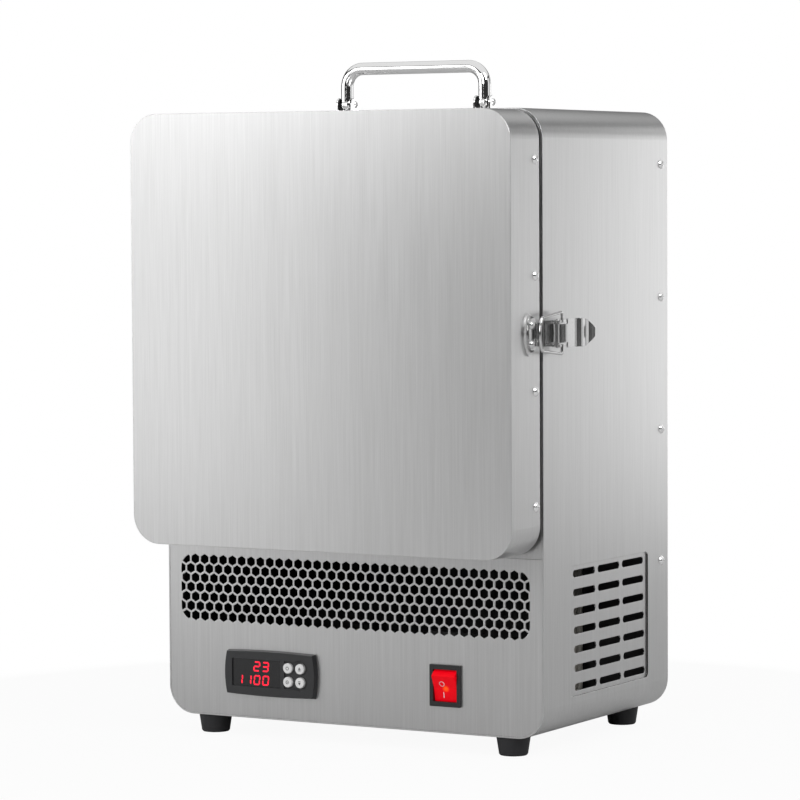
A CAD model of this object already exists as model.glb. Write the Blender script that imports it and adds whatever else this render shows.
import math

import bpy
from mathutils import Matrix, Vector


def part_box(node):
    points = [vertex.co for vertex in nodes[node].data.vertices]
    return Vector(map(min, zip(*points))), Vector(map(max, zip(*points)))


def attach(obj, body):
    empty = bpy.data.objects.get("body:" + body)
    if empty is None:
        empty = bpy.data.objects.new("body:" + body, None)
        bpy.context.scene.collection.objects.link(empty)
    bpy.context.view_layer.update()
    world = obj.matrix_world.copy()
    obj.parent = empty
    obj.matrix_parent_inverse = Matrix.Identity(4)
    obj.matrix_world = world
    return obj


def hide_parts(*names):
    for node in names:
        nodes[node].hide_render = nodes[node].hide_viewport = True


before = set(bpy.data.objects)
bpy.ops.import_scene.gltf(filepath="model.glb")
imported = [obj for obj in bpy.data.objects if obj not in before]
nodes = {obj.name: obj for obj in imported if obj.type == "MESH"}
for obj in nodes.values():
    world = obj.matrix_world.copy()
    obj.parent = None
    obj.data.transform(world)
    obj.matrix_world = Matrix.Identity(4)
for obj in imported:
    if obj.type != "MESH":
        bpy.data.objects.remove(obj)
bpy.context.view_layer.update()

# Camera
# A long lens to the front right of the kiln, a little above its middle. It is turned 30 degrees to the
# left, tilted 3 degrees down and leans by a third of a degree.
stand = (1.35915, -2.3765, 0.4053)
yaw, pitch, roll = (math.radians(angle) for angle in (29.886, 3.236, -0.3186))
ahead = Vector((-math.sin(yaw) * math.cos(pitch), math.cos(yaw) * math.cos(pitch), -math.sin(pitch)))
sideways = Vector((math.cos(yaw), math.sin(yaw), 0))
upward = sideways.cross(ahead)
axes = Matrix(
    (
        sideways * math.cos(roll) + upward * math.sin(roll),
        upward * math.cos(roll) - sideways * math.sin(roll),
        -ahead,
    )
)
lens = bpy.data.cameras.new("camera")
lens.lens = 164.25
lens.sensor_width = 36
lens.clip_end = 30
camera = bpy.data.objects.new("camera", lens)
bpy.context.scene.collection.objects.link(camera)
camera.matrix_world = Matrix.Translation(stand) @ axes.transposed().to_4x4()
bpy.context.scene.camera = camera
bpy.context.scene.view_settings.view_transform = "Standard"


# Studio
# A white paper floor that runs out behind the kiln to a white backdrop. The room that the steel mirrors is
# dim, with a light ceiling and a low grey wall behind with one lighter strip. Eight soft lamps light it.
class Value:
    """A shader socket that takes part in sums: each operator adds its Math node."""

    def __init__(self, finish, socket):
        self.finish = finish
        self.socket = socket

    def worked(self, operation, first, second):
        return self.finish.node("ShaderNodeMath", {"operation": operation}, {0: first, 1: second})

    def __add__(self, other):
        return self.worked("ADD", self, other)

    def __radd__(self, other):
        return self.worked("ADD", other, self)

    def __sub__(self, other):
        return self.worked("SUBTRACT", self, other)

    def __rsub__(self, other):
        return self.worked("SUBTRACT", other, self)

    def __mul__(self, other):
        return self.worked("MULTIPLY", self, other)

    def __rmul__(self, other):
        return self.worked("MULTIPLY", other, self)

    def at_least(self, other):
        return self.worked("MAXIMUM", self, other)


class Finish:
    """A finish built of nodes, for a surface or for the room round the kiln."""

    def __init__(self, name, world=False):
        self.owner = bpy.data.worlds.new(name) if world else bpy.data.materials.new(name)
        self.owner.use_nodes = True
        self.tree = self.owner.node_tree
        self.tree.nodes.clear()
        self.end = self.tree.nodes.new("ShaderNodeOutputWorld" if world else "ShaderNodeOutputMaterial")

    def node(self, kind, settings=None, sockets=None, out=0):
        """Adds a node with its settings, then gives its sockets their values or links."""
        made = self.tree.nodes.new(kind)
        for key, setting in (settings or {}).items():
            setattr(made, key, setting)
        for key, value in (sockets or {}).items():
            socket = made.inputs[key]
            if isinstance(value, Value):
                self.tree.links.new(value.socket, socket)
            elif socket.type == "RGBA":
                socket.default_value = (*value, 1)
            else:
                socket.default_value = value
        return Value(self, made.outputs[out])

    def mix(self, share, first, second):
        """Two colours mixed by a share from 0 to 1."""
        return self.node("ShaderNodeMix", {"data_type": "RGBA"}, {0: share, 6: first, 7: second}, out=2)

    def soft_step(self, value, low, high):
        """Rises softly from 0 to 1 while the value goes from low to high."""
        settings = {"interpolation_type": "SMOOTHSTEP"}
        return self.node("ShaderNodeMapRange", settings, {"Value": value, "From Min": low, "From Max": high})

    def noise(self, scale, detail=2, rough=0.5):
        """Noise on the piece's own coordinates; scale is features per metre along X, Y and Z."""
        place = self.node("ShaderNodeTexCoord", out="Object")
        stretched = self.node("ShaderNodeMapping", {}, {"Vector": place, "Scale": scale})
        sockets = {"Vector": stretched, "Scale": 1.0, "Detail": detail, "Roughness": rough}
        return self.node("ShaderNodeTexNoise", {}, sockets)

    def relief(self, height, depth, edge=0.0):
        """A normal from a height, on top of a small rounding of the piece's edges."""
        sockets = {"Height": height, "Distance": depth, "Strength": 1.0}
        if edge:
            sockets["Normal"] = self.node("ShaderNodeBevel", {"samples": 4}, {"Radius": edge})
        return self.node("ShaderNodeBump", {}, sockets)

    def show(self, shader):
        self.tree.links.new(shader.socket, self.end.inputs["Surface"])
        return self

    def surface(self, sockets):
        return self.show(self.node("ShaderNodeBsdfPrincipled", {}, sockets))

    def dress(self, *names):
        """Puts the finish on the kiln's own parts."""
        for name in names:
            part = nodes[name]
            if not part.material_slots:
                part.data.materials.append(self.owner)
            for part_slot in part.material_slots:
                part_slot.material = self.owner


room_light, wall_light, strip_light, ceiling_light = 0.03, 0.08, 0.4, 0.8
behind_limits, wall_top_limits, ceiling_limits = (-0.1, 0.3), (0.12, 0.2), (0.4, 0.5)
strip_x, strip_limits = 0.5, (0.012, 0.03)
room = Finish("studio", world=True)
bpy.context.scene.world = room.owner
look = room.node("ShaderNodeTexCoord", out="Generated")
look_parts = room.node("ShaderNodeSeparateXYZ", {}, {0: look}).socket.node.outputs
look_x, look_y, look_z = (Value(room, part) for part in look_parts)
off_strip = look_x - strip_x
strip = 1 - room.soft_step(off_strip * off_strip, *strip_limits)
behind = room.soft_step(look_y, *behind_limits)
low = 1 - room.soft_step(look_z, *wall_top_limits)
ceiling = room.soft_step(look_z, *ceiling_limits)
brightness = (strip * strip_light + wall_light) * behind * low + ceiling * ceiling_light + room_light
room_colour = room.mix(brightness, (0, 0, 0), (1, 1, 1))
mirrored = room.node("ShaderNodeBackground", {}, {"Color": room_colour, "Strength": 1.0})
backdrop = room.node("ShaderNodeBackground", {}, {"Color": (1, 1, 1), "Strength": 1.0})
seen = room.node("ShaderNodeLightPath", out="Is Camera Ray")
room.show(room.node("ShaderNodeMixShader", {}, {0: seen, 1: mirrored, 2: backdrop}))

floor_size, floor_drop = 12, 0.0002
shadow_near, shadow_far, shadow_white = 0.2, 0.5, 0.94
bpy.ops.object.select_all(action="DESELECT")
bpy.ops.mesh.primitive_plane_add(size=floor_size, location=(0, 0, -floor_drop))
floor = bpy.context.object
floor.name = "floor"
paper = Finish("floor_paper")
spot = paper.node("ShaderNodeTexCoord", out="Object")
from_kiln = paper.node("ShaderNodeVectorMath", {"operation": "LENGTH"}, {0: spot}, out="Value")
seen = paper.node("ShaderNodeLightPath", out="Is Camera Ray")
white_share = paper.soft_step(from_kiln, shadow_near, shadow_far).at_least(shadow_white) * seen
matt = paper.node("ShaderNodeBsdfDiffuse", {}, {"Color": (0.5, 0.5, 0.5)})
white = paper.node("ShaderNodeEmission", {}, {"Color": (1, 1, 1), "Strength": 1.0})
paper.show(paper.node("ShaderNodeMixShader", {}, {0: white_share, 1: matt, 2: white}))
floor.data.materials.append(paper.owner)


def lamp(name, place, aim, size, power):
    """A soft lamp that faces a point, with its width and height in metres and its power in watts."""
    light = bpy.data.lights.new(name, "AREA")
    light.shape = "RECTANGLE"
    light.size, light.size_y = size
    light.energy = power
    made = bpy.data.objects.new(name, light)
    bpy.context.scene.collection.objects.link(made)
    made.location = place
    made.rotation_euler = (aim - Vector(place)).to_track_quat("-Z", "Y").to_euler()


middle, right_side = Vector((0, 0, 0.3)), Vector((0.16, 0, 0.3))
lamp("key_lamp", (-0.75, -1.05, 0.3), middle, (0.3, 0.5), 0.66)
lamp("brow_lamp", (-0.6, -1.05, 0.7), middle, (0.5, 0.3), 1.7)
lamp("left_lamp", (-1.5, -0.8, 0.6), middle, (0.8, 0.8), 7)
lamp("front_lamp", (0.2, -2.2, 0.9), middle, (0.6, 0.6), 13)
lamp("high_lamp", (1.6, -0.6, 1.4), middle, (0.8, 0.8), 17)
lamp("right_lamp", (1.3, 0.5, 0.6), middle, (0.8, 0.8), 1.5)
lamp("side_lamp", (0.5, 0.9, 0.3), right_side, (0.3, 0.5), 0.34)
lamp("back_lamp", (0.45, 1.3, 0.5), right_side, (0.5, 0.8), 1.3)

# Case wrap and panels
# One bent sheet of stainless steel makes the sides, top and bottom. The front and rear panels stand inside
# its edges. All are brushed upright, so fine streaks run up every face, and cut edges are slightly rounded.
MM = 0.001


def brushed(name, tone, roughness, edge=0.6 * MM, inside=None):
    """Brushed steel; inside is a darker tone for the faces that look in towards the kiln's heart."""
    contrast, streak, unevenness, scratch = 2, 0.1, 0.12, 0.006 * MM
    fine_scale, broad_scale, cloud_scale = (1300, 1300, 16), (420, 420, 9), (60, 60, 3)
    finish = Finish(name)
    fine = finish.noise(fine_scale, 3, 0.6)
    broad = finish.noise(broad_scale, 3, 0.6)
    cloud = finish.noise(cloud_scale)
    grain = fine * 0.6 + broad * 0.3 + cloud * 0.1
    light_share = (grain - 0.5) * contrast + 0.5
    colour = finish.mix(light_share, [tone * (1 - streak)] * 3, [tone * (1 + streak)] * 3)
    rough = (grain - 0.5) * unevenness + roughness
    if inside is not None:
        heart, blend, inside_rough = (0, 0, 0.25), 0.004, 0.6
        place = finish.node("ShaderNodeTexCoord", out="Object")
        facing = Value(finish, place.socket.node.outputs["Normal"])
        outwards = finish.node("ShaderNodeVectorMath", {"operation": "SUBTRACT"}, {0: place, 1: heart})
        sockets = {0: facing, 1: outwards}
        outer = finish.node("ShaderNodeVectorMath", {"operation": "DOT_PRODUCT"}, sockets, out="Value")
        outer = finish.soft_step(outer, -blend, 0.0)
        colour = finish.mix(outer, [inside] * 3, colour)
        rough = outer * (rough - inside_rough) + inside_rough
    return finish.surface(
        {
            "Base Color": colour,
            "Metallic": 1.0,
            "Roughness": rough,
            "Normal": finish.relief(fine, scratch, edge),
        }
    )


brushed("case_steel", tone=0.57, roughness=0.32, inside=0.06).dress("case_wrap")
brushed("panel_steel", tone=0.57, roughness=0.32, inside=0.06).dress("front_panel", "rear_panel")
brushed("inner_steel", tone=0.5, roughness=0.38).dress("door_liner", "chamber_front")
brushed("deck_steel", tone=0.1, roughness=0.5).dress("bay_deck")


# Rivets and screws
# Domed steel rivets, smoother than the sheet that they go through, hold the case, the door and the hinges.
# Zinc-plated machine screws and nuts hold the inlet and the feet, and plated rivets the handle's brackets.
def smooth_metal(name, colour, roughness):
    shade, wear = 0.92, 0.08
    finish = Finish(name)
    spots = finish.noise((900, 900, 900), 3, 0.6)
    return finish.surface(
        {
            "Base Color": finish.mix(spots, [part * shade for part in colour], colour),
            "Metallic": 1.0,
            "Roughness": (spots - 0.5) * wear + roughness,
        }
    )


rivet_steel = smooth_metal("rivet_steel", (0.9, 0.9, 0.9), roughness=0.16)
rivet_steel.dress("case_rivets", "door_rivets", "hinge_case_rivets", "hinge_door_rivets")
screw_zinc = smooth_metal("screw_zinc", (0.68, 0.69, 0.7), roughness=0.3)
screw_zinc.dress("inlet_screws", "foot_screws", "foot_nuts", "bracket_rivets")


# Chamber and insulation
# A muffle of vacuum-formed ceramic fibre, off-white, matt and slightly fluffy, stands between fibre boards.
# A tan hearth plate lies on its floor, and the two elements in its walls are dark with oxide.
def fibre(name, pale, shade, lumps=0.4 * MM):
    finish = Finish(name)
    fluff = finish.noise((700, 700, 700), 5, 0.65)
    patch = finish.noise((40, 40, 40), 3, 0.5)
    return finish.surface(
        {
            "Base Color": finish.mix(fluff * 0.5 + patch * 0.5, shade, pale),
            "Roughness": 0.95,
            "Normal": finish.relief(fluff * 0.7 + patch * 0.3, lumps),
        }
    )


fibre("muffle_fibre", (0.86, 0.84, 0.8), (0.7, 0.67, 0.61)).dress("muffle", "door_plug")
fibre("board_fibre", (0.8, 0.76, 0.68), (0.66, 0.6, 0.5)).dress("insulation_boards")
fibre("gasket_tape", (0.8, 0.78, 0.72), (0.6, 0.57, 0.5), lumps=0.6 * MM).dress("door_gasket")
fibre("hearth_cordierite", (0.66, 0.53, 0.38), (0.5, 0.38, 0.26), lumps=0.1 * MM).dress("hearth_plate")
fibre("sheath_alumina", (0.86, 0.84, 0.79), (0.78, 0.75, 0.68), lumps=0.03 * MM).dress("thermocouple")
smooth_metal("element_oxide", (0.16, 0.14, 0.13), roughness=0.55).dress("heating_elements")


# Electronics bay
# Half seen through the grille: a black relay on its finned aluminium heat sink, a moulded terminal block
# and bare brass contacts. Two element leads in braided sleeving drop from the deck to the bay's floor.
def moulded(name, colour, roughness, grain=0.03 * MM, size=1600):
    """A moulded piece with a skin of fine grain; size is grains per metre."""
    shade, unevenness, edge = 0.9, 0.1, 0.3 * MM
    finish = Finish(name)
    skin = finish.noise((size, size, size))
    return finish.surface(
        {
            "Base Color": finish.mix(skin, [part * shade for part in colour], colour),
            "Roughness": (skin - 0.5) * unevenness + roughness,
            "Normal": finish.relief(skin, grain, edge),
        }
    )


smooth_metal("heatsink_metal", (0.5, 0.5, 0.51), roughness=0.45).dress("relay_heatsink")
moulded("relay_plastic", (0.05, 0.05, 0.05), roughness=0.5).dress("solid_state_relay", "terminal_block")
smooth_metal("contact_brass", (0.78, 0.62, 0.33), roughness=0.3).dress("switch_terminals", "inlet_pins")


def wire(name, start, points, radius, roundness=3):
    """A round wire through points in millimetres from a starting place."""
    bpy.ops.object.select_all(action="DESELECT")
    bpy.ops.mesh.primitive_plane_add(size=MM, location=(0, 0, 0))
    bpy.ops.object.mode_set(mode="EDIT")
    bpy.ops.mesh.select_mode(type="VERT")
    bpy.ops.mesh.select_all(action="SELECT")
    bpy.ops.mesh.merge(type="CENTER")
    bpy.ops.mesh.select_all(action="SELECT")
    places = [start + Vector(point) * MM for point in points]
    bpy.ops.transform.translate(value=places[0])
    for one, two in zip(places, places[1:]):
        bpy.ops.mesh.extrude_vertices_move(TRANSFORM_OT_translate={"value": two - one})
    bpy.ops.object.mode_set(mode="OBJECT")
    bpy.ops.object.convert(target="CURVE")
    path = bpy.context.object.data
    path.bevel_depth = radius * MM
    path.bevel_resolution = roundness
    path.use_fill_caps = True
    bpy.ops.object.convert(target="MESH")
    made = bpy.context.object
    made.name = made.data.name = name
    bpy.ops.object.shade_smooth()
    return made


def rounded(points, trim):
    """The same run of points with each inner corner rounded over a length on both sides."""
    steps, side_share = 6, 0.45
    points = [Vector(point) for point in points]
    run = [points[0]]
    for before, corner, after in zip(points, points[1:], points[2:]):
        shorter = min((before - corner).length, (after - corner).length)
        reach = min(trim, shorter * side_share)
        one = corner + (before - corner).normalized() * reach
        two = corner + (after - corner).normalized() * reach
        for step in range(steps + 1):
            share = step / steps
            run.append(one * (1 - share) ** 2 + corner * (2 * share * (1 - share)) + two * share**2)
    return run + [points[-1]]


case_lo, case_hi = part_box("case_wrap")
front_edge = Vector(((case_lo.x + case_hi.x) / 2, case_lo.y, case_lo.z))
lead_radius, lead_bend = 2.2, 12
sleeving = fibre("lead_sleeving", (0.6, 0.58, 0.53), (0.42, 0.4, 0.36), lumps=0.3 * MM)
for number, x in enumerate((88.3, 92.6)):
    route = [(x, 188.0, 125.6), (x, 188.0, 9.0), (x - 8.0, 182.0, 6.0), (64.0, 178.0 - 6 * number, 6.0)]
    lead = wire(f"element_lead_{number + 1}", front_edge, rounded(route, lead_bend), lead_radius)
    lead.data.materials.append(sleeving.owner)
    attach(lead, "case")

# Temperature controller
# A charcoal moulded panel controller, held from behind by spring clips. Its sloped bezel frames a dark
# window with two rows of red seven-segment digits, and four pale rubber keys whose marks are printed.
controller_plastic = moulded("controller_plastic", (0.019, 0.0195, 0.021), roughness=0.42)
controller_plastic.dress("controller_case", "controller_clips")
window_tint = moulded("display_window", (0.012, 0.012, 0.013), roughness=0.16, grain=0.002 * MM, size=300)
window_tint.dress("controller_window")
key_rubber = moulded("key_rubber", (0.72, 0.72, 0.72), roughness=0.6)
key_rubber.dress("key_mode", "key_up", "key_set", "key_down")


def bar(centre, size, bevel):
    """A small printed or lit bar with rounded corners; size is its width, thickness and height."""
    bpy.ops.object.select_all(action="DESELECT")
    bpy.ops.mesh.primitive_cube_add(size=1, location=centre, scale=size)
    made = bpy.context.object
    bpy.ops.object.transform_apply(location=False, rotation=False, scale=True)
    bpy.ops.object.mode_set(mode="EDIT")
    bpy.ops.mesh.select_all(action="DESELECT")
    bpy.ops.object.mode_set(mode="OBJECT")
    for edge in made.data.edges:
        one, two = (made.data.vertices[end].co for end in edge.vertices)
        edge.select = abs(one.y - two.y) > size[1] / 2
    bpy.ops.object.mode_set(mode="EDIT")
    bpy.ops.mesh.select_mode(type="EDGE")
    bpy.ops.mesh.bevel(offset=bevel, segments=3, affect="EDGES")
    bpy.ops.object.mode_set(mode="OBJECT")
    return made


def join(parts, name):
    """Joins meshes into one object at the origin."""
    bpy.ops.object.select_all(action="DESELECT")
    for part in parts:
        part.select_set(True)
    bpy.context.view_layer.objects.active = parts[0]
    if len(parts) > 1:
        bpy.ops.object.join()
    bpy.ops.object.transform_apply(location=True, rotation=True, scale=True)
    made = bpy.context.object
    made.name = made.data.name = name
    return made


led = Finish("led_red")
led.surface(
    {
        "Base Color": (0.6, 0.0, 0.02),
        "Emission Color": (1.0, 0.006, 0.035),
        "Emission Strength": 1.0,
    }
)
window_lo, window_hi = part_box("controller_window")
window_mid = (window_lo + window_hi) / 2
digit_half_w, digit_half_h, digit_pitch, slant = 2.3 * MM, 3.25 * MM, 7.65 * MM, 0.13
stroke, stroke_gap, stroke_corner = 1.1 * MM, 0.35 * MM, 0.45 * MM
print_depth = 0.1 * MM
digit_y = window_lo.y - 0.04 * MM
last_column_x = window_mid.x + 7.8 * MM
upper_row_z = window_mid.z + 4.95 * MM
lower_row_z = window_mid.z - 5.3 * MM
segments_of = {"0": "abcdef", "1": "bc", "2": "abged", "3": "abgcd"}
segment_spots = {
    "a": (0, 1, "flat"),
    "b": (1, 0.5, "upright"),
    "c": (1, -0.5, "upright"),
    "d": (0, -1, "flat"),
    "e": (-1, -0.5, "upright"),
    "f": (-1, 0.5, "upright"),
    "g": (0, 0, "flat"),
}
lit_bars = []
for row_z, text in ((upper_row_z, "23"), (lower_row_z, "1100")):
    for column, digit in enumerate(reversed(text)):
        digit_x = last_column_x - column * digit_pitch
        for letter in segments_of[digit]:
            across, up, direction = segment_spots[letter]
            rise = up * digit_half_h
            place = (digit_x + across * digit_half_w + rise * slant, digit_y, row_z + rise)
            if direction == "flat":
                size = (2 * digit_half_w - stroke_gap, print_depth, stroke)
            else:
                size = (stroke, print_depth, digit_half_h - stroke_gap)
            lit_bars.append(bar(place, size, stroke_corner))
digits = join(lit_bars, "display_digits")
digits.data.materials.append(led.owner)
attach(digits, "case")


def ring(centre, facing, radius, stroke):
    """A flat printed ring on a face."""
    flatness = 0.2
    bpy.ops.object.select_all(action="DESELECT")
    bpy.ops.mesh.primitive_torus_add(
        major_radius=radius, minor_radius=stroke / 2, major_segments=32, minor_segments=8
    )
    made = bpy.context.object
    made.scale = (1, 1, flatness)
    made.location = centre
    made.rotation_euler = facing.to_track_quat("Z", "Y").to_euler()
    return made


def arrow(centre, way, radius):
    """A flat printed triangle that points up, way 1, or down, way -1."""
    softening = 0.03 * MM
    bpy.ops.object.select_all(action="DESELECT")
    bpy.ops.mesh.primitive_cylinder_add(vertices=3, radius=radius, depth=print_depth)
    made = bpy.context.object
    made.location = centre
    made.rotation_euler = (math.radians(90), 0 if way > 0 else math.pi, 0)
    bpy.ops.object.transform_apply(location=False, rotation=True, scale=False)
    bpy.ops.object.mode_set(mode="EDIT")
    bpy.ops.mesh.select_all(action="SELECT")
    bpy.ops.mesh.bevel(offset=softening, segments=1, affect="EDGES")
    bpy.ops.object.mode_set(mode="OBJECT")
    return made


key_ink = moulded("key_ink", (0.06, 0.06, 0.065), roughness=0.6)
ink_proud = 0.03 * MM
ring_radius, ring_stroke = 1.15 * MM, 0.42 * MM
dot_size, dot_corner = (0.7 * MM, print_depth, 0.7 * MM), 0.3 * MM
arrow_radius, arrow_lift = 1.25 * MM, 0.35 * MM
dash_size, dash_drop, dash_corner = (2.1 * MM, print_depth, 0.45 * MM), 1.1 * MM, 0.15 * MM
to_front, to_top = Vector((0, -1, 0)), Vector((0, 0, 1))
for key in ("mode", "up", "set", "down"):
    key_lo, key_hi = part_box(f"key_{key}")
    centre = Vector(((key_lo.x + key_hi.x) / 2, key_lo.y - ink_proud, (key_lo.z + key_hi.z) / 2))
    if key in ("up", "down"):
        way = 1 if key == "up" else -1
        shapes = [
            arrow(centre + to_top * way * arrow_lift, way, arrow_radius),
            bar(centre - to_top * way * dash_drop, dash_size, dash_corner),
        ]
    else:
        shapes = [ring(centre, to_front, ring_radius, ring_stroke)]
        if key == "set":
            shapes.append(bar(centre, dot_size, dot_corner))
    printed = join(shapes, f"key_{key}_mark")
    printed.data.materials.append(key_ink.owner)
    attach(printed, f"key_{key}")

# Mains switch
# A black moulded frame that snaps into the front panel holds a rocker of translucent red plastic. A bulb in
# it lights the rocker near its middle, and the usual ring and bar are printed on its two faces.
moulded("switch_plastic", (0.012, 0.012, 0.013), roughness=0.35).dress("switch_frame")
rocker = Finish("rocker_red")
rocker_lo, rocker_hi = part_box("switch_rocker")
rocker_mid = (rocker_lo + rocker_hi) / 2
bulb = Vector((rocker_mid.x + 0.5 * MM, rocker_lo.y + 4 * MM, rocker_mid.z - 2 * MM))
glow_near, glow_far = 0.3 * MM, 3.4 * MM
spot = rocker.node("ShaderNodeTexCoord", out="Object")
from_bulb = rocker.node("ShaderNodeVectorMath", {"operation": "DISTANCE"}, {0: spot, 1: bulb}, out="Value")
glow = 1 - rocker.soft_step(from_bulb, glow_near, glow_far)
rocker.surface(
    {
        "Base Color": (0.6, 0.001, 0.006),
        "Roughness": 0.35,
        "Specular IOR Level": 0.12,
        "Emission Color": rocker.mix(glow, (0.36, 0.0, 0.004), (1.0, 0.14, 0.01)),
        "Emission Strength": 0.8,
    }
).dress("switch_rocker")

mark_ink = moulded("mark_ink", (0.9, 0.62, 0.66), roughness=0.5)
ring_tilt, bar_tilt = math.radians(21.986), math.radians(11.93)
ring_place = front_edge + Vector((77.6, -2.506, 36.167)) * MM
bar_place = front_edge + Vector((78.05, -0.107, 27.875)) * MM
ring_facing = Vector((0, -math.cos(ring_tilt), -math.sin(ring_tilt)))
off_mark = ring(ring_place, ring_facing, 1.9 * MM, 0.55 * MM)
on_mark = bar(bar_place, (0.75 * MM, print_depth, 4.4 * MM), 0.2 * MM)
on_mark.rotation_euler = (bar_tilt, 0, 0)
marks = join([off_mark, on_mark], "rocker_marks")
marks.data.materials.append(mark_ink.owner)
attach(marks, "switch_rocker")

# Mains inlet
# A three-pin inlet with a black moulded body and flat brass pins. It stands in the rear panel's cut-out,
# where two screws through its flange hold it.
moulded("inlet_plastic", (0.015, 0.015, 0.016), roughness=0.45).dress("power_inlet")


# Carry handle
# A bent steel rod with bright chrome plating. Its two eyes turn on domed pins in black bushes, between the
# cheeks of chromed U-shaped brackets that are riveted to the top of the case.
def chrome(name, tone, roughness):
    haze_depth, edge = 0.04, 0.3 * MM
    finish = Finish(name)
    haze = finish.noise((120, 120, 120))
    return finish.surface(
        {
            "Base Color": [tone] * 3,
            "Metallic": 1.0,
            "Roughness": haze * haze_depth + roughness,
            "Normal": finish.node("ShaderNodeBevel", {"samples": 4}, {"Radius": edge}),
        }
    )


handle_chrome = chrome("handle_chrome", tone=0.88, roughness=0.05)
handle_chrome.dress("carry_handle", "handle_brackets", "handle_pins")
moulded("bush_black", (0.01, 0.01, 0.01), roughness=0.5).dress("handle_bushes")

# Hinges
# Two satin steel butt hinges on the left side. Each has one leaf riveted to the case and one riveted to the
# door, with a plain steel pin through the knuckles of both.
hinge_steel = smooth_metal("hinge_steel", (0.66, 0.66, 0.67), roughness=0.32)
hinge_steel.dress("hinge_case_leaves", "hinge_door_leaves", "hinge_pins")

# Toggle latch
# Bright chrome throughout: the keeper is riveted to the door and the base to the case. The lever with its
# curled tip turns on a pin in the base's ears, and its bail of bent wire reaches to the keeper's hook.
latch_chrome = chrome("latch_chrome", tone=0.6, roughness=0.1)
latch_chrome.dress("latch_keeper", "keeper_rivets", "latch_base", "latch_base_rivets", "latch_pin")
latch_chrome.dress("latch_lever", "latch_bail")
bail_radius, bail_bend, bail_arm, bail_half_h, bail_end_h = 1.05, 1.9, 34.1, 15, 6.4
bow_radius, bow_angles = 26.0, (-27.2, -18, -9, 0, 9, 18, 27.2)
bail_lo, bail_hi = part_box("latch_bail")
bail_mid = (bail_lo + bail_hi) / 2
bow_middle = Vector((bail_mid.x, bail_lo.y + bail_radius * MM, bail_mid.z))
turns = [math.radians(angle) for angle in bow_angles]
bow = [(0, bow_radius * (1 - math.cos(turn)), bow_radius * math.sin(turn)) for turn in turns]
lower_arm = [(0, bail_arm, -bail_end_h), (0, bail_arm, -bail_half_h)]
upper_arm = [(0, bail_arm, bail_half_h), (0, bail_arm, bail_end_h)]
bail_run = rounded(lower_arm + bow + upper_arm, bail_bend)
bail = wire("bail_wire", bow_middle, bail_run, bail_radius, roundness=4)
bail.data.materials.append(latch_chrome.owner)
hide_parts("latch_bail")
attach(bail, "latch_bail")

# Feet
# Four tapered feet, moulded in matt black rubber. A screw up the middle of each holds it to the case's
# bottom and takes a nut inside.
moulded("foot_rubber", (0.012, 0.012, 0.014), roughness=0.55, grain=0.06 * MM, size=900).dress("feet")

# Door
# A shallow pan of the same brushed sheet with four rounded sides. A liner riveted into its back closes it
# round the fibre filling and the plug.
brushed("door_steel", tone=0.59, roughness=0.32, edge=0.8 * MM).dress("door_shell")
